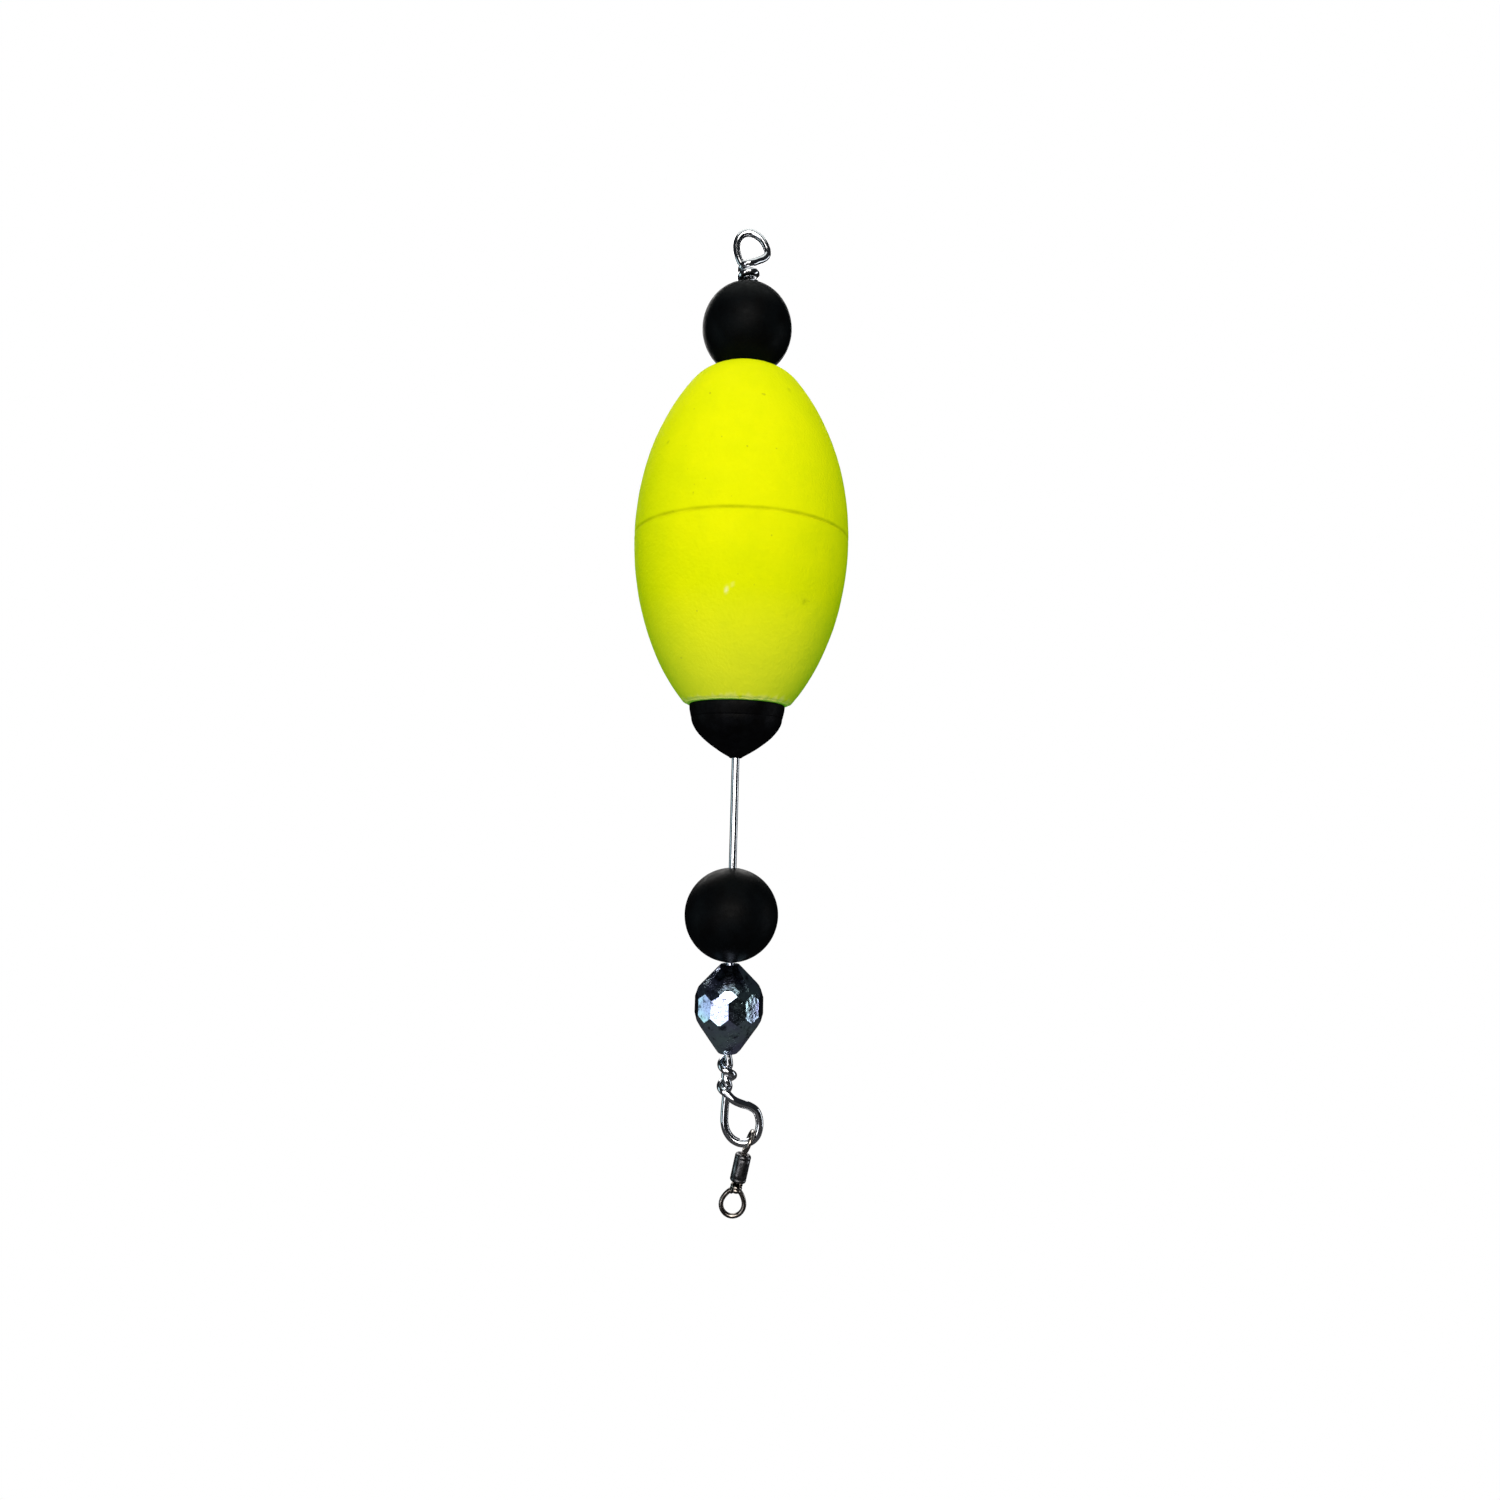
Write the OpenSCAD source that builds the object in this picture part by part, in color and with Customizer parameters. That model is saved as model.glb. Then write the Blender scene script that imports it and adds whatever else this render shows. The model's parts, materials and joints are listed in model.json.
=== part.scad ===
// Through-wire fishing float: a foam body that slides and spins on a wire between beads,
// with a faceted click bead and a barrel swivel below.
// +Z runs up the wire, and the origin is the middle of the line eye at its top.
// The eyes are bent in the XZ plane, and -Y is the front.

/* [Wire] */
// Diameter of the spring wire
wire_d = 1.0; // [0.9:0.05:1.05]
// Bend radius of the line eye, to the middle of the wire
line_eye_r = 2.0; // [1.8:0.1:2.2]
// Bend radius at the foot of the lower loop, to the middle of the wire
loop_r = 2.1; // [2.0:0.05:2.2]
// Rise of each tight turn that closes the line eye
close_pitch = 1.15; // [1.1:0.05:1.2]
// Rise of each open turn that closes the lower loop
open_pitch = 2.3; // [2.2:0.05:2.35]

/* [Beads] */
// Diameter of the two round black beads
bead_d = 12; // [11:0.1:12]
// Width of the faceted bead across its corners
facet_d = 8.7; // [8:0.1:9]
// Number of facets around the faceted bead
facet_count = 12; // [10:1:12]

/* [Float] */
// Largest diameter of the foam body
foam_d = 28.1; // [24:0.1:28.4]
// Length that the foam body would have if both ends ran to a point
foam_full_length = 51.9; // [50:0.1:53]
// How quickly the upper end draws in: 1 is an ellipse, more is leaner
top_taper = 1.29; // [1:0.01:1.4]
// How quickly the lower end draws in
foot_taper = 1.2; // [1:0.01:1.4]
// Length of the foam body between its cut ends
foam_length = 44.6; // [44:0.1:44.7]
// Width of the parting groove around the middle
groove_w = 0.45; // [0.2:0.05:0.8]
// Outer diameter of the liner tube through the foam
liner_d = 2.4; // [2.2:0.1:3]

/* [Weighted cap] */
// Largest diameter of the black cap
cap_d = 12.5; // [12:0.1:13]
// Height of the cap from the foam to its tip
cap_h = 6.9; // [6.5:0.1:7]
// Diameter of the peg that holds the cap in the foam
peg_d = 5; // [4:0.5:7]
// Length of the peg inside the foam
peg_l = 8; // [6:0.5:12]

/* [Swivel] */
// Outer diameter of the swivel barrel
barrel_d = 2.05; // [2:0.05:2.2]
// Length of the swivel barrel
barrel_l = 3.44; // [3.4:0.02:3.6]
// Diameter of the wire of the swivel eyes
eye_wire_d = 0.6; // [0.5:0.05:0.65]
// Outer diameter of the upper swivel eye
upper_eye_d = 3.1; // [3.0:0.05:3.2]
// Outer diameter of the lower swivel eye
lower_eye_d = 3.4; // [3.2:0.05:3.6]

/* [Hidden] */

// How finely round shapes are drawn
$fn = 64;

// Clearance between the wire and each bore that runs on it, measured on the radius
run_gap = 0.08;
bore_d = wire_d + 2 * run_gap;
// Widening at the mouth of each bore
mouth = 0.35;
// Overlap that makes cutting tools pass through a face
cut = 0.5;

// Heights on the wire, from the middle of the line eye
top_bead_z = -11.3;
foam_top_z = -17.4;
foam_foot_z = foam_top_z - foam_length;
foam_wide_z = -40.3;
// Height over which the foam's upper end rounds off to its flat top
foam_round = 2.2;
// How far the liner stops below the foam's top, to stay clear of the bead
liner_drop = 0.1;
lower_bead_z = -89;
facet_top_z = -95.2;
facet_foot_z = -106.3;
loop_top_z = -111.1;

// Line eye
eye_shift = 0.3;
eye_low_angle = -35;
close_z = -2.7;
// Radius of the closing turns and how many half turns they make
close_r = 0.99 * wire_d;
close_halves = 4;

// Lower loop: its foot is a half circle and its shoulder leans back over the shaft
loop_foot_z = loop_top_z - 4.2;
shoulder_z = loop_top_z - 3.4;
shoulder_r = 2.0;
shoulder_angle = 65;
open_r = 1.05 * wire_d;
open_halves = 4;

// Swivel: the barrel leans from the wire, and the upper eye leans a little more
barrel_top = [2.35, 0, loop_top_z - 7.6];
barrel_lean = 11.4;
upper_lean = 17.4;
barrel_wall = 0.3;
shank_gap = 0.08;
end_hole_d = eye_wire_d + 2 * shank_gap;
head_d = 1.0;
head_depth = 0.95;
barrel_end_round = 0.25;
upper_ring_rise = 0.1;
neck_d = 1.15;
neck_l = 1.3;
neck_gap = 0.12;

// ---- shared shapes ----

// Part of a ring of wire in the XZ plane, from one angle to another, counted from +X towards +Z
module bend(centre, r, from, to, d = wire_d) {
    translate([centre[0], 0, centre[1]])
        rotate([90, 0, 0])
            rotate([0, 0, from])
                rotate_extrude(angle = to - from)
                    translate([r, 0])
                        circle(d = d, $fn = 48);
}

// A straight stretch of wire between two points
module rod(a, b, d = wire_d) {
    v = b - a;
    translate(a)
        rotate([0, acos(v[2] / norm(v)), atan2(v[1], v[0])])
            cylinder(d = d, h = norm(v), $fn = 48);
}

// A small knuckle where two stretches of wire meet at an angle
module knuckle(p, d = wire_d) {
    translate(p)
        sphere(d = d * 1.03, $fn = 48);
}

// Wire coiled around the shaft in half turns, each a tilted half ring that runs smoothly into
// the next. It starts in front, at height z0, and goes by the left side, climbing with
// climb = 1 or dropping with climb = -1.
module coil(z0, pitch, r, climb, halves) {
    tilt = climb * asin(pitch / (4 * r));
    for (k = [0 : halves - 1]) {
        in_front = k % 2 == 0;
        translate([0, 0, z0 + climb * k * pitch / 2])
            rotate([0, in_front ? tilt : -tilt, 0])
                rotate([0, 0, in_front ? 180 : 0])
                    rotate_extrude(angle = k == 0 ? 90 : 180)
                        translate([r, 0])
                            circle(d = wire_d, $fn = 48);
    }
}

// A round bead with a bore that opens at both mouths
module round_bead(z) {
    mouth_r = bore_d / 2 + mouth;
    mouth_z = sqrt(pow(bead_d / 2, 2) - pow(mouth_r, 2));
    translate([0, 0, z])
        difference() {
            sphere(d = bead_d, $fn = 96);
            cylinder(d = bore_d, h = bead_d + 2 * cut, center = true);
            for (side = [0, 180])
                rotate([side, 0, 0])
                    translate([0, 0, mouth_z - mouth])
                        cylinder(r1 = bore_d / 2, r2 = mouth_r + cut, h = mouth + cut);
        }
}

// ---- the wire ----

module line_eye() {
    centre = [eye_shift, 0];
    reach = [line_eye_r * cos(eye_low_angle), line_eye_r * sin(eye_low_angle)];
    right_foot = [eye_shift + reach[0], 0, reach[1]];
    left_foot = [eye_shift - reach[0], 0, reach[1]];
    neck = [0, 0, close_z];
    crossing = [0, -close_r, close_z];
    bend(centre, line_eye_r, eye_low_angle, 180 - eye_low_angle);
    rod(left_foot, neck);
    rod(right_foot, crossing);
    for (p = [left_foot, right_foot, neck, crossing])
        knuckle(p);
    coil(close_z, close_pitch, close_r, -1, close_halves);
}

module lower_loop() {
    far_x = 2 * loop_r;
    shoulder = [far_x - shoulder_r, shoulder_z];
    lip = [
        shoulder[0] + shoulder_r * cos(shoulder_angle), 0,
        shoulder[1] + shoulder_r * sin(shoulder_angle)
    ];
    crossing = [0, -open_r, loop_top_z];
    bend([loop_r, loop_foot_z], loop_r, 180, 360);
    rod([far_x, 0, loop_foot_z], [far_x, 0, shoulder_z]);
    bend(shoulder, shoulder_r, 0, shoulder_angle);
    rod(lip, crossing);
    for (p = [lip, crossing])
        knuckle(p);
    coil(loop_top_z, open_pitch, open_r, 1, open_halves);
}

module main_wire() {
    color("silver") {
        translate([0, 0, loop_foot_z])
            cylinder(d = wire_d, h = close_z - loop_foot_z, $fn = 48);
        line_eye();
        lower_loop();
    }
}

// ---- the float ----

module top_bead() {
    color([0.03, 0.03, 0.035])
        round_bead(top_bead_z);
}

// Radius of the foam at a height, before its upper end is rounded off
function foam_r(z) =
    let (t = asin((z - foam_wide_z) / (foam_full_length / 2)))
    foam_d / 2 * pow(cos(t), z > foam_wide_z ? top_taper : foot_taper);

// The foam draws in to a small lip at its foot, and an arc rounds off its upper end
module foam_float() {
    slices = 42;
    round_steps = 8;
    lip = 0.4;
    step = 0.01;
    round_z = foam_top_z - foam_round;
    lean = atan2(step, foam_r(round_z) - foam_r(round_z + step));
    round_r = foam_round / (1 - cos(lean));
    hub = [foam_r(round_z) - round_r * sin(lean), foam_top_z - round_r];
    outline = [
        for (i = [0 : slices])
            let (z = foam_foot_z + (round_z - foam_foot_z) * i / slices)
            [foam_r(z) - (i == 0 ? lip : 0), z]
    ];
    rounding = [
        for (i = [1 : round_steps])
            let (a = 90 - lean * (1 - i / round_steps))
            hub + round_r * [cos(a), sin(a)]
    ];
    color([0.85, 0.95, 0.05])
        difference() {
            rotate_extrude($fn = 96)
                polygon(concat([[0, foam_foot_z]], outline, rounding, [[0, foam_top_z]]));
            translate([0, 0, foam_foot_z - cut])
                cylinder(d = liner_d, h = foam_length + 2 * cut);
            translate([0, 0, foam_foot_z - cut])
                cylinder(d = peg_d, h = peg_l + cut);
            translate([0, 0, foam_wide_z])
                rotate_extrude($fn = 96)
                    translate([foam_d / 2, 0])
                        circle(d = groove_w, $fn = 24);
        }
}

// The liner runs from the cap's peg to just below the foam's top
module liner_tube() {
    foot = foam_foot_z + peg_l;
    color([0.9, 0.9, 0.86])
        difference() {
            translate([0, 0, foot])
                cylinder(d = liner_d, h = foam_top_z - liner_drop - foot);
            translate([0, 0, foot - cut])
                cylinder(d = bore_d, h = foam_length);
        }
}

// A straight band, then a dome, round at its shoulder, that draws in to a small tip
module ballast_cap() {
    band_h = 1.7;
    band_taper = 0.3;
    dome_power = 1.85;
    tip_r = 0.95;
    steps = 16;
    rim_r = cap_d / 2 - band_taper;
    dome_h = cap_h - 0.15 - band_h;
    dome = [
        for (i = [0 : steps])
            let (u = i / steps)
            [tip_r + (rim_r - tip_r) * (1 - pow(u, dome_power)), -band_h - dome_h * u]
    ];
    color([0.04, 0.04, 0.045])
        translate([0, 0, foam_foot_z])
            difference() {
                union() {
                    rotate_extrude($fn = 96)
                        polygon(concat(
                            [[0, 0], [cap_d / 2 - 0.15, 0], [cap_d / 2, -0.15]],
                            dome,
                            [[tip_r - 0.15, -cap_h], [0, -cap_h]]
                        ));
                    cylinder(d = peg_d, h = peg_l);
                }
                translate([0, 0, -cap_h - cut])
                    cylinder(d = bore_d, h = cap_h + peg_l + 2 * cut);
            }
}

// ---- the beads below the float ----

module lower_bead() {
    color([0.03, 0.03, 0.035])
        round_bead(lower_bead_z);
}

// One facet ring makes the upright belly and the end cones. A second, turned half a step,
// slices sloping shoulders off the belly's corners, so each belly facet ends in a point.
module faceted_bead() {
    height = facet_top_z - facet_foot_z;
    belly_r = facet_d / 2;
    end_r = 1.1;
    cone_slope = 0.88;
    cone_run = (belly_r - end_r) / cone_slope;
    belly = [
        [0, 0],
        [end_r, 0],
        [belly_r, -cone_run],
        [belly_r, cone_run - height],
        [end_r, -height],
        [0, -height]
    ];
    shoulder_top = -3.6;
    shoulder_foot = -6.6;
    shoulder_slope = 0.62;
    reach = (belly_r + 0.02) / cos(180 / facet_count);
    shoulder_run = reach / shoulder_slope;
    shoulders = [
        [0, shoulder_top + shoulder_run],
        [reach, shoulder_top],
        [reach, shoulder_foot],
        [0, shoulder_foot - shoulder_run]
    ];
    color([0.2, 0.22, 0.3])
        translate([0, 0, facet_top_z])
            difference() {
                intersection() {
                    rotate_extrude($fn = facet_count)
                        polygon(belly);
                    rotate([0, 0, 180 / facet_count])
                        rotate_extrude($fn = facet_count)
                            polygon(shoulders);
                }
                translate([0, 0, -height - cut])
                    cylinder(d = bore_d, h = height + 2 * cut);
            }
}

// ---- the swivel ----

// Places its children with the barrel's upper face at the origin and the barrel along -Z
module on_barrel(lean = barrel_lean) {
    translate(barrel_top)
        rotate([0, lean, 0])
            children();
}

// The wire ring of an eye, whose plane holds the swivel's axis
module eye_ring(d, turn) {
    rotate([0, 0, turn])
        rotate([90, 0, 0])
            rotate_extrude()
                translate([(d - eye_wire_d) / 2, 0])
                    circle(d = eye_wire_d, $fn = 32);
}

module swivel_upper_eye() {
    ring_z = upper_ring_rise + upper_eye_d / 2;
    color([0.35, 0.34, 0.34])
        on_barrel(upper_lean) {
            translate([0, 0, ring_z])
                eye_ring(upper_eye_d, 90);
            translate([0, 0, -head_depth])
                cylinder(d = eye_wire_d, h = head_depth + upper_ring_rise + eye_wire_d / 2);
            translate([0, 0, -head_depth])
                sphere(d = head_d, $fn = 48);
        }
}

module swivel_barrel() {
    r = barrel_d / 2;
    color([0.25, 0.25, 0.27])
        on_barrel()
            difference() {
                rotate_extrude()
                    polygon([
                        [0, 0], [r - barrel_end_round, 0], [r, -barrel_end_round],
                        [r, barrel_end_round - barrel_l], [r - barrel_end_round, -barrel_l],
                        [0, -barrel_l]
                    ]);
                translate([0, 0, barrel_wall - barrel_l])
                    cylinder(d = barrel_d - 2 * barrel_wall, h = barrel_l - 2 * barrel_wall);
                translate([0, 0, -barrel_l - cut])
                    cylinder(d = end_hole_d, h = barrel_l + 2 * cut);
            }
}

module swivel_lower_eye() {
    neck_top = -barrel_l - neck_gap;
    ring_z = neck_top - neck_l - lower_eye_d / 2 + eye_wire_d / 2;
    head_z = head_depth - barrel_l;
    color([0.35, 0.34, 0.34])
        on_barrel() {
            translate([0, 0, ring_z])
                eye_ring(lower_eye_d, 0);
            translate([0, 0, neck_top - neck_l])
                cylinder(d = neck_d, h = neck_l);
            translate([0, 0, neck_top - cut])
                cylinder(d = eye_wire_d, h = head_z - neck_top + cut);
            translate([0, 0, head_z])
                sphere(d = head_d, $fn = 48);
        }
}

main_wire();
top_bead();
foam_float();
liner_tube();
ballast_cap();
lower_bead();
faceted_bead();
swivel_upper_eye();
swivel_barrel();
swivel_lower_eye();
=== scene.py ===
"""Looks for the through-wire fishing float: every CAD piece gets a detailed piece around the frame."""
import json
import math
import random

import bmesh
import bpy
from mathutils import Matrix, Vector, noise


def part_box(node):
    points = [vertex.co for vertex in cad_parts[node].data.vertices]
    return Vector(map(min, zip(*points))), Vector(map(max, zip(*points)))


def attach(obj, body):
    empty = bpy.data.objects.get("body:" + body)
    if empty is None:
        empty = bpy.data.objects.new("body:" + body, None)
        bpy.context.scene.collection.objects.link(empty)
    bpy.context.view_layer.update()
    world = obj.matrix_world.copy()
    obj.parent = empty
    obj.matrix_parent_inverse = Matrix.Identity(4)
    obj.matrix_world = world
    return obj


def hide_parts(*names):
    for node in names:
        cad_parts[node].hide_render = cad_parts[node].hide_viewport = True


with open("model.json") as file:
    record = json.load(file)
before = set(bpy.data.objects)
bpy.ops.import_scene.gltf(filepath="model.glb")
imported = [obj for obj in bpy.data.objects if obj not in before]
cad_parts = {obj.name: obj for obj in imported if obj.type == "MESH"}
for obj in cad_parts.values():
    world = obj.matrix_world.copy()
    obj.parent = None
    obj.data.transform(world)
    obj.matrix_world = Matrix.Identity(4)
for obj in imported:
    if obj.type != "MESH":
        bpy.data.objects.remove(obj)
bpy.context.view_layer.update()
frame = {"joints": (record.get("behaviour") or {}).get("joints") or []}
joints = {j["name"]: j for j in frame["joints"]}

MM = 0.001


# ---------------------------------------------------------------- places, from the frame

def centre(node):
    """The middle of a CAD node's box, in millimetres."""
    low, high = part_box(node)
    return (low + high) / 2 / MM


def span(node):
    """The lowest and highest corner of a CAD node, in millimetres."""
    low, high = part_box(node)
    return low / MM, high / MM


WIRE_R = 0.5
BORE_R = 0.58
# A turned outline that reaches the axis stops this far from it
POLE_R = 0.001
wire_low = span("main_wire")[0]
foam_low, foam_high = span("foam_float")
cap_low, cap_high = span("ballast_cap")
facet_low, facet_high = span("faceted_bead")
FOAM_R = (foam_high.x - foam_low.x) / 2
FOAM_FOOT = foam_low.z
FOAM_TOP = foam_high.z
CAP_R = (cap_high.x - cap_low.x) / 2
CAP_TIP = cap_low.z
# From the middle of the wire at the lower loop's foot up to where the loop closes on the shaft
LOOP_RISE = 6.3
LOOP_TOP = wire_low.z + WIRE_R + LOOP_RISE


# ---------------------------------------------------------------- mesh helpers

def new_object(name, verts, faces, smooth=True):
    """A mesh object from points in millimetres."""
    mesh = bpy.data.meshes.new(name)
    mesh.from_pydata([Vector(v) * MM for v in verts], [], faces)
    mesh.update()
    obj = bpy.data.objects.new(name, mesh)
    bpy.context.scene.collection.objects.link(obj)
    mesh.polygons.foreach_set("use_smooth", [smooth] * len(mesh.polygons))
    return obj


def grid_faces(rows, columns, close_rows=False):
    """Quads over a grid of points whose columns run round and close."""
    faces = []
    for i in range(rows if close_rows else rows - 1):
        j = (i + 1) % rows
        for k in range(columns):
            m = (k + 1) % columns
            faces.append((i * columns + k, i * columns + m, j * columns + m, j * columns + k))
    return faces


def lathe(name, profile, segments=96, wobble=None):
    """A closed ring turned about Z from a closed outline of (radius, height) points, in millimetres.
    The outline runs up the outside and down the inside. wobble(point) may shift a point."""
    verts = []
    for r, z in profile:
        for k in range(segments):
            a = 2 * math.pi * k / segments
            p = Vector((r * math.cos(a), r * math.sin(a), z))
            verts.append(wobble(p) if wobble else p)
    return new_object(name, verts, grid_faces(len(profile), segments, close_rows=True))


def tangents_along(path, closed):
    """The direction of travel at each point of a path."""
    count = len(path)
    out = []
    for i in range(count):
        before = path[i - 1] if (i or closed) else path[0]
        after = path[(i + 1) % count] if (closed or i + 1 < count) else path[-1]
        out.append((after - before).normalized())
    return out


def sides_along(tangents, closed):
    """A direction across the path at each point, which turns as little as it can."""
    side = tangents[0].cross(Vector((0.3, 1, 0.1))).normalized()
    out = []
    for t in tangents:
        side = (side - t * side.dot(t)).normalized()
        out.append(side)
    if closed:
        twist = out[-1].cross(out[0]).dot(tangents[0])
        twist = math.asin(max(-1, min(1, twist)))
        share = twist / len(out)
        out = [Matrix.Rotation(share * i, 3, t) @ s for i, (s, t) in enumerate(zip(out, tangents))]
    return out


def sweep(name, path, radius, sides=24, blunt=0.12, closed=False):
    """A round wire along a path of points in millimetres, with softly cut ends."""
    tangents = tangents_along(path, closed)
    sides_at = sides_along(tangents, closed)
    verts = []

    def ring(i, shift=0.0, shrink=0.0):
        t, s = tangents[i], sides_at[i]
        b = t.cross(s)
        for k in range(sides):
            a = 2 * math.pi * k / sides
            verts.append(path[i] + t * shift + (radius - shrink) * (math.cos(a) * s + math.sin(a) * b))

    # Each cut end rounds over in three rings
    rounding = [(0.0, blunt), (blunt * 0.35, blunt * 0.3), (blunt, 0.0)]
    inner = range(len(path)) if closed else range(1, len(path) - 1)
    if not closed:
        for shift, shrink in rounding:
            ring(0, shift, shrink)
    for i in inner:
        ring(i)
    if not closed:
        for shift, shrink in reversed(rounding):
            ring(len(path) - 1, -shift, shrink)
    rows = len(verts) // sides
    faces = grid_faces(rows, sides, close_rows=closed)
    if not closed:
        faces.append(tuple(reversed(range(sides))))
        faces.append(tuple(range((rows - 1) * sides, rows * sides)))
    return new_object(name, verts, faces)


def curve_through(points, step=0.12):
    """Points a step apart on a smooth curve through these ones (a centripetal Catmull-Rom spline)."""
    pts = [Vector(p) for p in points]
    pts = [2 * pts[0] - pts[1]] + pts + [2 * pts[-1] - pts[-2]]
    out = []
    for i in range(1, len(pts) - 2):
        p0, p1, p2, p3 = pts[i - 1:i + 3]
        t0 = 0.0
        t1 = t0 + math.sqrt((p1 - p0).length)
        t2 = t1 + math.sqrt((p2 - p1).length)
        t3 = t2 + math.sqrt((p3 - p2).length)
        pieces = max(1, round((p2 - p1).length / step))
        for k in range(pieces):
            t = t1 + (t2 - t1) * k / pieces
            a1 = p0.lerp(p1, (t - t0) / (t1 - t0))
            a2 = p1.lerp(p2, (t - t1) / (t2 - t1))
            a3 = p2.lerp(p3, (t - t2) / (t3 - t2))
            b1 = a1.lerp(a2, (t - t0) / (t2 - t0))
            b2 = a2.lerp(a3, (t - t1) / (t3 - t1))
            out.append(b1.lerp(b2, (t - t1) / (t2 - t1)))
    out.append(pts[-2])
    return out


def arc(cx, cz, r, start, end, count):
    """(radius, height) points along an arc, angles in degrees from the outward direction."""
    out = []
    for i in range(count + 1):
        a = math.radians(start + (end - start) * i / count)
        out.append((cx + r * math.cos(a), cz + r * math.sin(a)))
    return out


def join(name, objects):
    """One object from several."""
    bpy.ops.object.select_all(action="DESELECT")
    for o in objects:
        o.select_set(True)
    bpy.context.view_layer.objects.active = objects[0]
    bpy.ops.object.join()
    objects[0].name = name
    objects[0].data.name = name
    return objects[0]


def place(obj, matrix):
    """Moves an object's mesh, in millimetres."""
    scaled = matrix.copy()
    scaled.translation = matrix.translation * MM
    obj.data.transform(scaled)
    obj.data.update()
    return obj


def apply_modifier(obj, kind, **settings):
    """Adds a modifier and applies it."""
    modifier = obj.modifiers.new(kind.lower(), kind)
    for key, value in settings.items():
        setattr(modifier, key, value)
    bpy.context.view_layer.objects.active = obj
    bpy.ops.object.modifier_apply(modifier=modifier.name)
    return obj


def mesh_value(obj, name, rule):
    """Stores rule(point in millimetres) on each point of the mesh, for a material to read."""
    layer = obj.data.attributes.new(name, "FLOAT", "POINT")
    layer.data.foreach_set("value", [rule(v.co / MM) for v in obj.data.vertices])


# ---------------------------------------------------------------- material helpers

class Look:
    """Builds one material's nodes with short calls."""

    def __init__(self, name, **inputs):
        self.material = bpy.data.materials.new(name)
        self.material.use_nodes = True
        self.tree = self.material.node_tree
        self.shader = self.tree.nodes["Principled BSDF"]
        self.place = self.add("ShaderNodeTexCoord").outputs["Object"]
        self.set(**inputs)

    def add(self, kind, **settings):
        node = self.tree.nodes.new(kind)
        for key, value in settings.items():
            setattr(node, key, value)
        return node

    def link(self, source, target):
        self.tree.links.new(source, target)

    def set(self, **inputs):
        for key, value in inputs.items():
            self.shader.inputs[key.replace("_", " ")].default_value = value

    def noise(self, per_mm, detail=4, roughness=0.55, distortion=0.0):
        """Noise whose features are about 1/per_mm millimetres wide."""
        node = self.add("ShaderNodeTexNoise")
        node.inputs["Scale"].default_value = per_mm / MM
        node.inputs["Detail"].default_value = detail
        node.inputs["Roughness"].default_value = roughness
        node.inputs["Distortion"].default_value = distortion
        self.link(self.place, node.inputs["Vector"])
        return node.outputs["Fac"]

    def cells(self, per_mm):
        """Distance to the middle of the nearest of many small cells."""
        node = self.add("ShaderNodeTexVoronoi", feature="F1")
        node.inputs["Scale"].default_value = per_mm / MM
        self.link(self.place, node.inputs["Vector"])
        return node.outputs["Distance"]

    def stored(self, name):
        """A value that mesh_value stored on the mesh."""
        return self.add("ShaderNodeAttribute", attribute_name=name).outputs["Fac"]

    def span(self, value, low, high, to_low=0.0, to_high=1.0):
        """A value stretched from one range to another, and held inside it."""
        node = self.add("ShaderNodeMapRange", clamp=True)
        limits = {"From Min": low, "From Max": high, "To Min": to_low, "To Max": to_high}
        for key, number in limits.items():
            node.inputs[key].default_value = number
        self.link(value, node.inputs["Value"])
        return node.outputs["Result"]

    def share(self, value, amount):
        """A value times a number."""
        node = self.add("ShaderNodeMath", operation="MULTIPLY")
        self.link(value, node.inputs[0])
        node.inputs[1].default_value = amount
        return node.outputs["Value"]

    def mix(self, factor, a, b):
        """From colour a to colour b; each is three numbers or an earlier result."""
        node = self.add("ShaderNodeMix", data_type="RGBA")
        self.link(factor, node.inputs["Factor"])
        for socket, value in ((node.inputs["A"], a), (node.inputs["B"], b)):
            if isinstance(value, tuple):
                socket.default_value = (*value, 1)
            else:
                self.link(value, socket)
        return node.outputs["Result"]

    def tinted(self, value, tint):
        """A colour multiplied by another."""
        node = self.add("ShaderNodeMix", data_type="RGBA", blend_type="MULTIPLY")
        node.inputs["Factor"].default_value = 1.0
        self.link(value, node.inputs["A"])
        node.inputs["B"].default_value = (*tint, 1)
        return node.outputs["Result"]

    def colour(self, value):
        self.link(value, self.shader.inputs["Base Color"])

    def rough(self, value, low, high):
        """Roughness from low to high over the middle of a noise."""
        self.link(self.span(value, 0.3, 0.7, low, high), self.shader.inputs["Roughness"])

    def bump(self, *layers):
        """Each layer is a height from 0 to 1 and its depth in millimetres."""
        normal = None
        for height, depth in layers:
            node = self.add("ShaderNodeBump")
            node.inputs["Strength"].default_value = 1.0
            node.inputs["Distance"].default_value = depth * MM
            self.link(height, node.inputs["Height"])
            if normal:
                self.link(normal, node.inputs["Normal"])
            normal = node.outputs["Normal"]
        self.link(normal, self.shader.inputs["Normal"])


# ---------------------------------------------------------------- materials

def spring_wire_look():
    """Bright drawn spring wire: a fine roughness and bump noise, small pits and smears."""
    look = Look("spring_wire", Metallic=1.0)
    draw = look.noise(2.2, 5, 0.6)
    fine = look.noise(14, 3, 0.5)
    smear = look.noise(0.5, 3)
    tint = look.mix(look.span(smear, 0.35, 0.7), (0.80, 0.81, 0.83), (0.62, 0.64, 0.68))
    pits = look.span(look.noise(7, 2, 0.4), 0.66, 0.74)
    look.colour(look.mix(look.share(pits, 0.3), tint, (0.16, 0.16, 0.17)))
    look.rough(draw, 0.08, 0.17)
    look.bump((fine, 0.0004), (draw, 0.0011))
    return look.material


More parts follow.
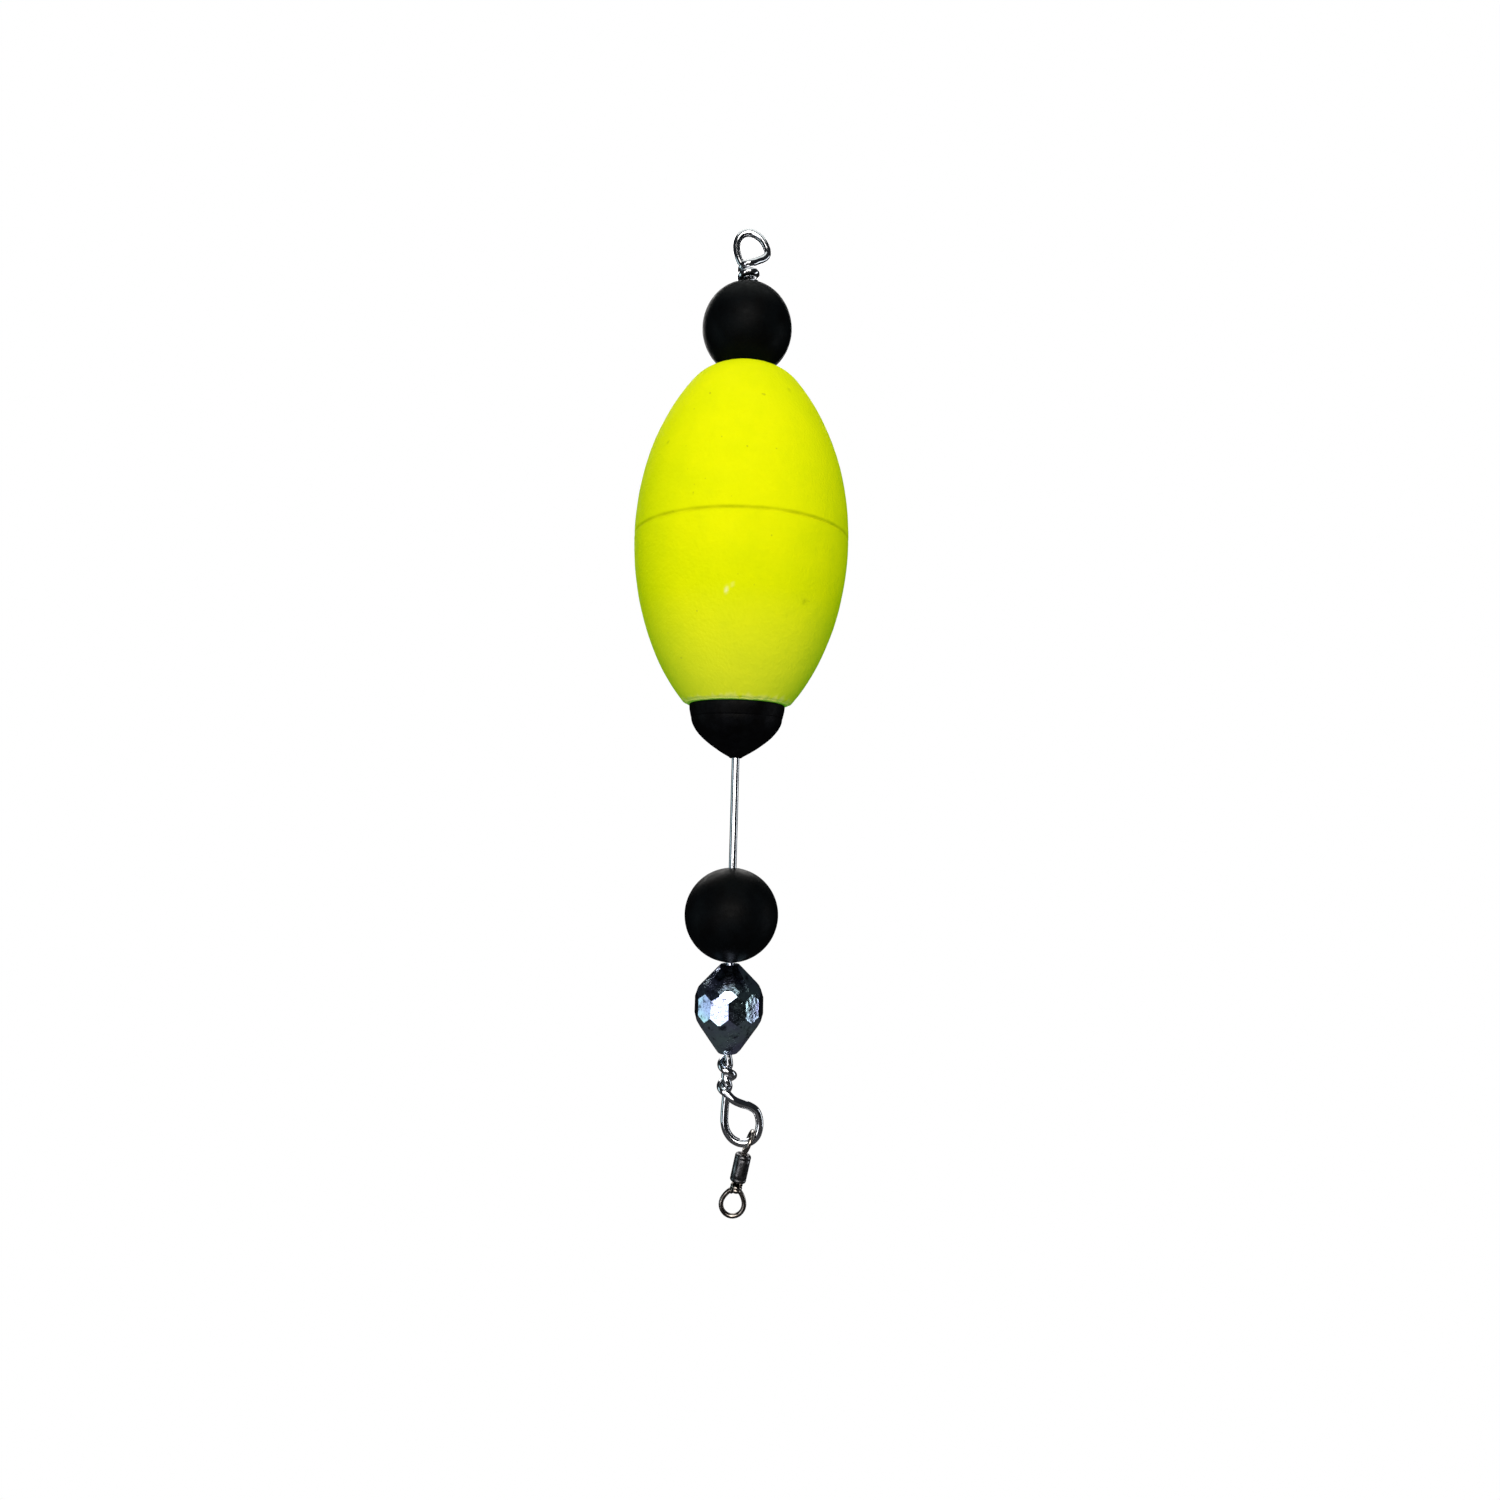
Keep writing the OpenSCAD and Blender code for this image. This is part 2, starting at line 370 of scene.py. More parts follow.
def black_bead_look():
    """Satin black plastic with faint handling marks."""
    look = Look("black_bead")
    look.set(Specular_IOR_Level=0.035)
    haze = look.noise(0.35, 4)
    grain = look.noise(9, 3)
    look.colour(look.mix(
        look.span(haze, 0.35, 0.7), (0.0012, 0.0013, 0.0015), (0.0024, 0.0034, 0.0042)
    ))
    look.rough(look.noise(1.1, 5, 0.6), 0.36, 0.56)
    look.bump((grain, 0.01), (look.noise(1.5, 3), 0.02))
    return look.material


def black_cap_look():
    """Black paint dipped over metal: a slight orange peel."""
    look = Look("black_cap")
    look.set(Specular_IOR_Level=0.04)
    peel = look.noise(1.6, 2, 0.4)
    haze = look.noise(0.6, 4)
    look.colour(look.mix(
        look.span(haze, 0.4, 0.7), (0.0013, 0.0013, 0.0015), (0.0035, 0.0040, 0.0050)
    ))
    look.rough(look.noise(1.4, 4), 0.34, 0.58)
    look.bump((peel, 0.035), (look.noise(8, 2), 0.008))
    return look.material


def foam_look():
    """Fluorescent closed-cell foam: fine open grain, faint mottling, specks, painted shade in the groove
    and towards the foot, and a painted green glow.
    """
    look = Look("yellow_foam")
    look.set(Specular_IOR_Level=0.04)
    mottle = look.noise(0.09, 5, 0.6)
    patch = look.noise(0.35, 4, 0.6)
    grain = look.noise(3.4, 4, 0.65)
    cells = look.cells(2.6)
    base = look.mix(look.span(mottle, 0.35, 0.68), (0.86, 0.93, 0.0), (0.77, 0.88, 0.0))
    base = look.mix(look.span(patch, 0.55, 0.8, 0, 0.35), base, (0.72, 0.82, 0.004))
    base = look.mix(look.span(cells, 0.0, 0.16, 0.22, 0.0), base, (0.60, 0.68, 0.0))
    specks = look.span(look.noise(1.3, 1, 0.3), 0.785, 0.81)
    base = look.mix(look.share(specks, 0.5), base, (0.42, 0.47, 0.01))
    # Painted shade: the groove is darkened
    base = look.mix(look.stored("groove"), base, (0.50, 0.54, 0.0))
    base = look.mix(look.stored("nick"), base, (0.95, 1.0, 0.45))
    base = look.mix(look.share(look.stored("stain"), 0.6), base, (0.36, 0.46, 0.0))
    # Painted shade: the colour turns a duller olive yellow towards the foot
    base = look.mix(look.share(look.stored("foot"), 0.5), base, (0.86, 0.86, 0.06))
    base = look.mix(look.share(look.stored("lip"), 0.7), base, (1.0, 0.98, 0.30))
    # Painted glow: some green is taken out of the base colour and a constant green emission is added back,
    # so the foam glows green whether or not light falls on it, standing in for its fluorescence
    look.colour(look.tinted(base, (1.0, 0.79, 1.0)))
    look.link(look.tinted(base, (0.03, 0.205, 0.0)), look.shader.inputs["Emission Color"])
    look.set(Emission_Strength=1.0)
    look.rough(patch, 0.72, 0.9)
    look.bump((grain, 0.05), (cells, 0.03), (look.noise(0.7, 3), 0.05))
    return look.material


def liner_look():
    """Milky plastic tube, a little glossy."""
    look = Look("liner")
    haze = look.noise(0.8, 3)
    look.colour(look.mix(look.span(haze, 0.4, 0.7), (0.80, 0.80, 0.74), (0.68, 0.68, 0.60)))
    look.rough(look.noise(3, 3), 0.3, 0.5)
    look.bump((look.noise(6, 2), 0.01),)
    return look.material


def mirror_bead_look():
    """Dark mirror coating on cut facets: blue-black, with a faint iridescent drift and scuffs."""
    look = Look("mirror_bead", Metallic=1.0)
    drift = look.noise(0.28, 3, 0.5, distortion=0.6)
    cloud = look.noise(1.0, 5, 0.65)
    base = look.mix(look.span(drift, 0.38, 0.62), (0.52, 0.56, 0.86), (0.62, 0.86, 0.90))
    base = look.mix(look.span(cloud, 0.52, 0.66, 0, 0.9), base, (0.03, 0.035, 0.07))
    look.colour(base)
    look.rough(look.noise(2.4, 5, 0.6), 0.04, 0.2)
    look.bump((look.noise(2.0, 4, 0.6), 0.045), (look.noise(0.6, 3), 0.12))
    return look.material


def swivel_wire_look():
    """Black-nickel wire worn to warm steel."""
    look = Look("swivel_wire", Metallic=1.0)
    wear = look.noise(1.8, 4, 0.6)
    look.colour(look.mix(look.span(wear, 0.42, 0.66), (0.13, 0.115, 0.105), (0.46, 0.42, 0.38)))
    look.rough(look.noise(4, 3), 0.1, 0.28)
    look.bump((look.noise(7, 3), 0.01),)
    return look.material


def swivel_body_look():
    """Black-nickel barrel, rolled and slightly scuffed."""
    look = Look("swivel_body", Metallic=1.0)
    wear = look.noise(1.1, 5, 0.65)
    look.colour(look.mix(look.span(wear, 0.45, 0.7), (0.075, 0.075, 0.08), (0.24, 0.24, 0.25)))
    look.rough(look.noise(3, 4), 0.22, 0.42)
    look.bump((look.noise(5, 3), 0.012),)
    return look.material


# ---------------------------------------------------------------- the wire

def coil_points(start, turns, pitch, r, z0, per_turn=14):
    """Points around the wire's axis, from a start counted in turns: 0 is in front, 0.25 on the left."""
    count = max(2, round(abs(turns) * per_turn))
    out = []
    for i in range(count + 1):
        t = start + turns * i / count
        a = 2 * math.pi * t
        out.append((-r * math.sin(a), -r * math.cos(a), z0 + pitch * t))
    return out


def make_wire():
    """One length of wire: closing turns, line eye, shaft, lower loop and its twisted end."""
    close_z, close_pitch = -2.7, 1.13
    # The closing turns wind up to the front, where they leave for the eye's lower right corner
    tail = coil_points(1.72, -1.72, -close_pitch, 1.02, close_z)
    eye = [
        (0.75, -0.80, -2.36), (1.35, -0.48, -1.92), (1.95, -0.22, -1.50), (2.36, -0.08, -1.02),
        (2.44, 0, -0.45), (2.20, 0, 0.38), (1.66, 0, 1.25), (0.80, 0, 1.95), (-0.15, 0, 2.22),
        (-1.00, 0, 1.92), (-1.58, 0, 1.15), (-1.74, 0, 0.30), (-1.60, 0, -0.70),
        (-1.25, 0, -1.75), (-0.72, 0, -2.65), (-0.18, 0, -3.45), (0, 0, -4.3),
    ]
    shaft = [(0, 0, z) for z in (-5.5, -8, -20, -45, -70, -95, -104, -106.2)]
    # Below the faceted bead the shaft gives way a little to each turn of the tail, so the two strands twist
    pair_turns, pair_pitch, tail_r, shaft_r = 1.55, 2.7, 0.78, 0.24
    give = coil_points(pair_turns - 0.25, 0.25 - pair_turns, pair_pitch, -shaft_r, LOOP_TOP)
    foot = [
        (-0.04, 0.03, -0.4), (-0.13, 0.05, -1.6), (-0.19, 0.05, -2.8), (-0.16, 0.04, -3.9),
        (0.16, 0.02, -4.95), (0.92, 0, -5.85), (2.05, 0, -6.30), (3.15, 0, -6.08),
        (3.90, 0, -5.40), (4.22, 0, -4.40), (4.20, -0.04, -3.30), (3.78, -0.14, -2.25),
        (2.90, -0.34, -1.62), (1.85, -0.62, -1.26), (0.85, -0.90, -0.74),
    ]
    foot = [(x, y, LOOP_TOP + z) for x, y, z in foot]
    climb = coil_points(0, pair_turns, pair_pitch, tail_r, LOOP_TOP)
    line = curve_through(tail + eye + shaft + give + foot + climb)
    wire = sweep("bent_wire", line, WIRE_R)
    wire.data.materials.append(spring_wire_look())
    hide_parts("main_wire")
    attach(wire, "wire")


# ---------------------------------------------------------------- beads

def make_round_bead(node, body, name, material, seed):
    """A moulded bead: a bore with rolled mouths and a faint seam where the mould closed."""
    middle = centre(node)
    low, high = span(node)
    r = (high.x - low.x) / 2
    mouth_r = BORE_R + 0.35
    mouth_angle = math.degrees(math.acos(mouth_r / r))
    outside = arc(0, 0, r, -mouth_angle, mouth_angle, 96)
    lip_z = r * math.sin(math.radians(mouth_angle))
    bore_z = lip_z - 0.4
    top_lip = [(mouth_r - 0.072, lip_z - 0.012), (BORE_R + 0.1, lip_z - 0.22), (BORE_R, bore_z)]
    bore_steps = 6
    inside = [(BORE_R, bore_z - 2 * bore_z * k / bore_steps) for k in range(1, bore_steps)]
    foot_lip = [(x, -z) for x, z in reversed(top_lip)]
    profile = outside + top_lip + inside + foot_lip
    # Each bead reads its own part of the noise
    shift = Vector((7.3, 3.1, 1.7)) * seed

    def wobble(p):
        if p.xy.length < mouth_r:
            return p
        seam = 0.012 * math.exp(-(p.y / 0.07) ** 2)
        ripple = 0.015 * noise.noise(p * 0.25 + shift)
        return p * (1 + (seam + ripple - 0.02) / r)

    bead = lathe(name, profile, 128, wobble)
    place(bead, Matrix.Translation(middle))
    bead.data.materials.append(material)
    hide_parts(node)
    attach(bead, body)


def make_faceted_bead():
    """Cut facets: planes slice a rough cylinder, then the edges are eased and the bore is drilled."""
    count = 12
    top, foot = facet_high.z, facet_low.z
    height = top - foot
    corner_r = (facet_high.x - facet_low.x) / 2
    flat_r = corner_r * math.cos(math.pi / count)
    rough_r = corner_r * 1.1
    mesh = bmesh.new()
    bmesh.ops.create_cone(
        mesh, cap_ends=True, segments=96, radius1=rough_r, radius2=rough_r, depth=height
    )
    rng = random.Random(5)
    # The belly sits a little above the bead's middle
    belly_z = 0.45
    end_r = 1.15

    def cut(turn, lean_deg, reach, z):
        """One tier of facets: its turn in steps, its lean from upright, and where its planes lie."""
        for k in range(count):
            a = 2 * math.pi * (k + turn) / count
            lean = math.radians(lean_deg + rng.uniform(-1.3, 1.3))
            swing = a + math.radians(rng.uniform(-1.2, 1.2))
            flat = math.cos(lean)
            out = Vector((math.cos(swing) * flat, math.sin(swing) * flat, math.sin(lean)))
            slice_off(mesh, Vector((reach * math.cos(a), reach * math.sin(a), z)), out)

    # Upright belly facets, two tiers of shoulders, and the facets that run in to the ends
    cut(0.5, 0, flat_r, belly_z)
    for sign in (1, -1):
        cut(0, sign * 21.5, corner_r * 0.985, belly_z + sign * 1.2)
        cut(0.5, sign * 35, corner_r * 0.885, belly_z + sign * 2.3)
        cut(0, sign * 44, end_r, sign * height / 2)
    bead = new_object("cut_bead", [], [])
    mesh.to_mesh(bead.data)
    mesh.free()
    bead.data.transform(Matrix.Scale(MM, 4))
    place(bead, Matrix.Translation((0, 0, (top + foot) / 2)))
    low, high = foot - 1, top + 1
    drill = lathe("drill", [(BORE_R, low), (BORE_R, high), (POLE_R, high), (POLE_R, low)], 48)
    apply_modifier(bead, "BOOLEAN", operation="DIFFERENCE", object=drill, solver="EXACT")
    bpy.data.objects.remove(drill)
    apply_modifier(
        bead, "BEVEL", width=0.09 * MM, segments=2, limit_method="ANGLE", angle_limit=math.radians(8)
    )
    bead.data.polygons.foreach_set("use_smooth", [False] * len(bead.data.polygons))
    bead.data.materials.append(mirror_bead_look())
    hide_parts("faceted_bead")
    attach(bead, "click_bead")


def slice_off(mesh, point, out):
    """Cuts away what lies beyond a plane and closes the cut."""
    geometry = mesh.verts[:] + mesh.edges[:] + mesh.faces[:]
    result = bmesh.ops.bisect_plane(
        mesh, geom=geometry, plane_co=point, plane_no=out, clear_outer=True, dist=1e-5
    )
    edges = [e for e in result["geom_cut"] if isinstance(e, bmesh.types.BMEdge)]
    if edges:
        bmesh.ops.contextual_create(mesh, geom=edges)


# ---------------------------------------------------------------- the float

# Half the length that the foam would have if both ends ran to a point, and its widest height
FOAM_HALF = 51.9 / 2
FOAM_WIDE_Z = -40.3
TOP_TAPER = 1.29
FOOT_TAPER = 1.2
# Height over which the upper end rounds off
FOAM_ROUND = 2.2
LINER_R = 1.2
GROOVE_HALF = 0.30
GROOVE_DEPTH = 0.17


def foam_radius(z):
    """The foam's radius at a height: a tapered ellipse."""
    s = (z - FOAM_WIDE_Z) / FOAM_HALF
    taper = TOP_TAPER if z > FOAM_WIDE_Z else FOOT_TAPER
    return FOAM_R * math.cos(math.asin(s)) ** taper


def foam_rounding(steps=16):
    """The arc that rounds the foam's upper end off to its flat top."""
    z = FOAM_TOP - FOAM_ROUND
    rise = 0.01
    lean = math.atan2(rise, foam_radius(z) - foam_radius(z + rise))
    r = FOAM_ROUND / (1 - math.cos(lean))
    start = 90 - math.degrees(lean)
    return arc(foam_radius(z) - r * math.sin(lean), FOAM_TOP - r, r, start, 90, steps)


def foam_profile():
    """The foam's closed outline: foot, flank, rounded top and bore, with more rows at the groove."""
    flank_low = FOAM_FOOT + 0.22
    flank_high = FOAM_TOP - FOAM_ROUND - 0.1
    rows, groove_rows, foot_rows = 150, 16, 7
    heights = {round(flank_low + (flank_high - flank_low) * i / rows, 3) for i in range(rows + 1)}
    heights |= {round(FOAM_WIDE_Z + 0.055 * i, 3) for i in range(-groove_rows, groove_rows + 1)}
    heights |= {round(flank_low + 0.12 * i, 3) for i in range(1, foot_rows + 1)}
    flank = [(foam_radius(z), z) for z in sorted(heights)]
    top_rim = foam_rounding()
    foot_r = flank[0][0] - 0.3
    top_r = top_rim[-1][0]
    foot_rim = arc(foot_r - 0.2, FOAM_FOOT + 0.2, 0.2, -90, -8, 4)
    foot_face = [(LINER_R + (foot_r - 0.3 - LINER_R) * k / 8, FOAM_FOOT) for k in range(9)]
    top_face = [(top_r - (top_r - LINER_R) * k / 6, FOAM_TOP) for k in range(1, 7)]
    bore = [(LINER_R, FOAM_TOP - (FOAM_TOP - FOAM_FOOT) * k / 12) for k in range(1, 12)]
    return foot_face + foot_rim + flank + top_rim + top_face + bore


def outward(p):
    """The direction from the axis to a point."""
    return Vector((p.x, p.y, 0)).normalized()


def groove_line(around):
    """The height of the parting groove, which wanders a little on its way round."""
    return FOAM_WIDE_Z + 0.05 * noise.noise(around * 2.1 + Vector((5, 0, 0)))


def groove_fade(around):
    """The groove is crisp in front and behind, and faint at the sides."""
    return min(1.0, 0.12 + 1.5 * abs(around.y))


def foam_surface(p):
    """Moves a point of the smooth foam: slow swells, grain, the groove and the ragged foot."""
    r = p.xy.length
    if r < LINER_R + 0.3:
        return p
    around = outward(p)
    swell = 0.045 * noise.noise(p * 0.12) + 0.02 * noise.noise(p * 0.45 + Vector((3, 1, 7)))
    grain = 0.012 * noise.noise(p * 2.3)
    depth = GROOVE_DEPTH * (0.8 + 0.5 * noise.noise(around * 6 + Vector((0, 4, 0)))) * groove_fade(around)
    cut = depth * math.exp(-(((p.z - groove_line(around)) / (GROOVE_HALF * 0.55)) ** 2))
    near_foot = max(0.0, 1 - (p.z - FOAM_FOOT) / 0.9)
    coarse = 0.13 * noise.noise(around * 9 + Vector((0, 0, 2)))
    ragged = near_foot * (coarse + 0.06 * noise.noise(around * 31))
    p = p + around * (swell + grain - cut + ragged - 0.04)
    if near_foot > 0.6 and r > CAP_R - 0.4:
        p.z += 0.10 * (noise.noise(around * 14 + Vector((9, 0, 0))) + 0.4) * near_foot
    return p


def groove_shade_value(p):
    """How strongly painted shade darkens the groove at a point."""
    if p.xy.length < LINER_R + 0.3:
        return 0.0
    around = outward(p)
    strength = 0.62 + 0.5 * noise.noise(around * 5 + Vector((0, 4, 0)))
    strength = max(0.0, min(1.0, strength)) * groove_fade(around)
    return strength * math.exp(-(((p.z - groove_line(around)) / (GROOVE_HALF * 0.8)) ** 2))


def lip_value(p):
    """The pale ragged lip at the foot."""
    if p.xy.length < CAP_R - 0.6:
        return 0.0
    around = outward(p)
    height = 0.42 + 0.5 * noise.noise(around * 7 + Vector((2, 0, 0))) + 0.3 * noise.noise(around * 23)
    return max(0.0, min(1.0, 1.4 - (p.z - FOAM_FOOT) / max(0.05, height)))


def foot_shade_value(p):
    """Painted shade: the foam's colour slowly shifts to a duller olive yellow towards its foot, standing in
    for the shade on its lower part.
    """
    return max(0.0, min(1.0, (FOAM_FOOT + 13 - p.z) / 15))


def spots(places):
    """A rule that is 1 at small soft spots: each has an angle, a height, a width and a tallness."""
    def rule(p):
        best = 0.0
        for angle, z, wide, high in places:
            a = math.radians(angle)
            ahead = p.x * math.cos(a) + p.y * math.sin(a)
            if ahead < p.xy.length * 0.5:
                continue
            across = (p.x * -math.sin(a) + p.y * math.cos(a)) / wide
            up = (p.z - z) / high
            best = max(best, math.exp(-(across ** 2 + up ** 2) * 1.5))
        return best
    return rule


def make_foam():
    """The foam body: cut ends with eased rims, a wandering groove, swells and a ragged lower lip."""
    # A nick's two strokes are in front, and the other nicks and the stains are scattered round
    nicks = [
        (-96.5, -49.9, 0.11, 0.36), (-93.5, -49.3, 0.08, 0.22), (142, -35, 0.3, 0.2),
        (35, -52, 0.2, 0.4),
    ]
    stains = [
        (-137, -30.7, 0.28, 0.25), (-51, -50.4, 0.4, 0.4), (-55, -23.2, 0.3, 0.2),
        (70, -30, 0.5, 0.4),
    ]
    foam = lathe("foam_body", foam_profile(), 224, foam_surface)
    mesh_value(foam, "groove", groove_shade_value)
    mesh_value(foam, "lip", lip_value)
    mesh_value(foam, "foot", foot_shade_value)
    mesh_value(foam, "nick", spots(nicks))
    mesh_value(foam, "stain", spots(stains))
    foam.data.materials.append(foam_look())
    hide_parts("foam_float")
    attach(foam, "float")


def make_liner():
    """The liner tube with eased ends."""
    low, high = span("liner_tube")
    ease = 0.1
    profile = [
        (BORE_R + ease, low.z), (LINER_R - ease, low.z), (LINER_R, low.z + ease),
        (LINER_R, (low.z + high.z) / 2), (LINER_R, high.z - ease), (LINER_R - ease, high.z),
        (BORE_R + ease, high.z), (BORE_R, high.z - ease), (BORE_R, low.z + ease),
    ]
    tube = lathe("liner_sleeve", profile, 48)
    tube.data.materials.append(liner_look())
    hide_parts("liner_tube")
    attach(tube, "float")


def cap_profile():
    """The cap's closed outline, from the top of the peg down the outside and up the bore."""
    band = 1.7
    ledge = 0.06
    edge = 0.18
    peg_r = 2.5
    rim_r = CAP_R - 0.3
    tip_r = 0.95
    foot = FOAM_FOOT - band
    drop = foot - CAP_TIP - 0.15
    steps = 40
    peg = [(peg_r, cap_high.z), (peg_r, FOAM_FOOT + 0.05), (CAP_R - 0.35, FOAM_FOOT)]
    rim = arc(CAP_R - edge, FOAM_FOOT - edge, edge, 80, 5, 4)
    side = [(CAP_R - 0.05, FOAM_FOOT - 0.7)]
    side += [(rim_r + ledge, foot + 0.1), (rim_r + ledge * 0.6, foot + 0.02)]
    dome = []
    for i in range(steps + 1):
        u = i / steps
        dome.append((tip_r + (rim_r - tip_r) * (1 - u ** 1.85), foot - drop * u))
    tip = [(tip_r - 0.08, CAP_TIP + 0.04), (tip_r - 0.2, CAP_TIP)]
    bore = [(BORE_R + 0.08, CAP_TIP)]
    bore += [(BORE_R, z) for z in (CAP_TIP + 0.1, CAP_TIP + 4, cap_high.z)]
    return peg + rim + side + dome + tip + bore


def make_cap():
    """The weighted cap: a short band, a fine ledge, then a dome that draws in to the wire."""
    def wobble(p):
        if p.xy.length < 0.8 or p.z > FOAM_FOOT - 0.05:
            return p
        return p + outward(p) * (0.035 * noise.noise(p * 0.5) + 0.02 * noise.noise(p * 1.7) - 0.03)

    cap = lathe("weighted_cap", cap_profile()[::-1], 144, wobble)
    cap.data.materials.append(black_cap_look())
    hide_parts("ballast_cap")
    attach(cap, "float")


# ---------------------------------------------------------------- the swivel

EYE_WIRE_R = 0.3
BARREL_L = 3.44
BARREL_R = 2.05 / 2
# Depth of each shank's head inside the barrel
HEAD_DEPTH = 0.95
UPPER_LEAN = math.radians(22)
barrel_top = Vector(joints["barrel_spin"]["pos_m"]) / MM
barrel_axis = Vector(joints["barrel_spin"]["axis"]).normalized()
BARREL_LEAN = math.atan2(barrel_axis.x, barrel_axis.z)


def on_swivel(lean):
    """From the swivel's own frame, with the barrel's top face at zero, to the object's frame."""
    return Matrix.Translation(barrel_top) @ Matrix.Rotation(lean, 4, "Y")


def eye_ring(name, r, facing, draw, draw_width):
    """A wire eye: a ring that draws out at its top, where its neck is, by a share of its radius."""
    count = 48
    path = []
    for i in range(count):
        a = 2 * math.pi * i / count
        from_neck = math.pi - abs(a - math.pi)
        out = r * (1 + draw * math.exp(-(from_neck / draw_width) ** 2))
        path.append(Vector((out * math.sin(a), 0, out * math.cos(a))))
    ring = sweep(name, path, EYE_WIRE_R, 20, closed=True)
    return place(ring, facing)


def shank(name, head_z, end_z):
    """A shank from its round head inside the barrel to the eye outside it."""
    head_r = 0.5
    way = 1 if end_z > head_z else -1
    length = abs(end_z - head_z)
    side = math.degrees(math.acos(EYE_WIRE_R / head_r))
    head = [(POLE_R, -head_r)] + arc(0, 0, head_r, -88, side, 16)
    outline = head + [(EYE_WIRE_R, length), (POLE_R, length)]
    profile = [(r, head_z + way * z) for r, z in outline]
    return lathe(name, profile[::way], 40)


def make_upper_eye():
    """The swivel's upper eye, which hangs in the wire's loop."""
    outer_r, rise = 3.1 / 2, 0.1
    # The neck points down, and the ring's plane is a quarter turn from the lower eye's
    facing = Matrix.Rotation(math.pi / 2, 4, "Z") @ Matrix.Rotation(math.pi, 4, "Y")
    ring = eye_ring("upper_ring", outer_r - EYE_WIRE_R, facing, draw=0.108, draw_width=0.45)
    place(ring, Matrix.Translation((0, 0, rise + outer_r)))
    stem = shank("upper_stem", -HEAD_DEPTH, 0.35)
    eye = join("upper_eye", [ring, stem])
    place(eye, on_swivel(UPPER_LEAN))
    eye.data.materials.append(swivel_wire_look())
    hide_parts("swivel_upper_eye")
    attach(eye, "swivel_top")


def make_barrel():
    """The hollow barrel: rolled ends and two faint turned lines."""
    r, middle, wall, hole, roll = BARREL_R, -BARREL_L / 2, 0.3, 0.38, 0.28
    mouth = [(hole, -wall), (hole, -0.05), (hole + 0.05, 0)]
    rolled = arc(r - roll, -roll, roll, 88, 4, 7)
    turned_line = [(r, -0.42), (r - 0.05, -0.5), (r, -0.58), (r, -1.0)]
    half = mouth + rolled + turned_line + [(r, middle)]
    mirrored = [(x, 2 * middle - z) for x, z in reversed(half[:-1])]
    inside = [(r - wall, wall - BARREL_L), (r - wall, middle), (r - wall, -wall)]
    barrel = lathe("barrel_shell", list(reversed(half + mirrored + inside)), 64)
    place(barrel, on_swivel(BARREL_LEAN))
    barrel.data.materials.append(swivel_body_look())
    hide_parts("swivel_barrel")
    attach(barrel, "swivel_body")


def make_lower_eye():
    """The free eye of the swivel, with its neck bound by turns of its own wire."""
    outer_r, neck_l, gap, hang = 3.48 / 2, 1.3, 0.12, 1.4
    neck_top = -BARREL_L - gap
    neck_foot = neck_top - neck_l
    facing = Matrix.Identity(4)
    ring = eye_ring("lower_ring", outer_r - EYE_WIRE_R, facing, draw=0.3, draw_width=0.62)
    place(ring, Matrix.Translation((0, 0, neck_foot - hang)))
    stem = shank("lower_stem", HEAD_DEPTH - BARREL_L, neck_foot)
    turns, wrap_r, wrap_top, wrap_l = 2.6, 0.52, neck_top - 0.24, neck_l - 0.35
    steps = round(turns * 22)
    wrap = []
    for i in range(steps + 1):
        t = i / steps
        a = 2 * math.pi * turns * t
        wrap.append(Vector((wrap_r * math.cos(a), wrap_r * math.sin(a), wrap_top - wrap_l * t)))
    binding = sweep("binding", wrap, 0.25, 14, blunt=0.06)
    eye = join("lower_eye", [ring, stem, binding])
    place(eye, on_swivel(BARREL_LEAN))
    eye.data.materials.append(swivel_wire_look())
    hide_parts("swivel_lower_eye")
    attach(eye, "swivel_foot")


# ---------------------------------------------------------------- stage, light, camera

def camera_only(tree, seen, unseen):
    """A shader that the camera sees one way and reflections another: a white sweep with dark sides."""
    path = tree.nodes.new("ShaderNodeLightPath")
    mix = tree.nodes.new("ShaderNodeMixShader")
    tree.links.new(path.outputs["Is Camera Ray"], mix.inputs["Fac"])
    tree.links.new(unseen, mix.inputs[1])
    tree.links.new(seen, mix.inputs[2])
    return mix.outputs["Shader"]


def make_world():
    """Pale surroundings for the eye, dim ones for the metal to reflect."""
    world = bpy.data.worlds.new("studio")
    bpy.context.scene.world = world
    world.use_nodes = True
    tree = world.node_tree
    dim = tree.nodes["Background"]
    dim.inputs["Color"].default_value = (0.75, 0.85, 1.0, 1)
    dim.inputs["Strength"].default_value = 0.022
    pale = tree.nodes.new("ShaderNodeBackground")
    pale.inputs["Color"].default_value = (1, 1, 1, 1)
    tree.links.new(
        camera_only(tree, pale.outputs["Background"], dim.outputs["Background"]),
        tree.nodes["World Output"].inputs["Surface"],
    )


def make_floor():
    """A plain pale floor, well below the float."""
    half = 3000
    drop = 160
    z = wire_low.z - drop
    floor = new_object(
        "studio_floor",
        [(-half, -half, z), (half, -half, z), (half, half, z), (-half, half, z)],
        [(0, 1, 2, 3)],
        smooth=False,
    )
    material = bpy.data.materials.new("floor")
    material.use_nodes = True
    tree = material.node_tree
    matte = tree.nodes["Principled BSDF"]
    matte.inputs["Base Color"].default_value = (0.05, 0.05, 0.055, 1)
    matte.inputs["Roughness"].default_value = 0.9
    glow = tree.nodes.new("ShaderNodeEmission")
    tree.links.new(
        camera_only(tree, glow.outputs["Emission"], matte.outputs["BSDF"]),
        tree.nodes["Material Output"].inputs["Surface"],
    )
    floor.data.materials.append(material)


# The height that the lights look at, halfway down the whole rig
AIM_Z = -62


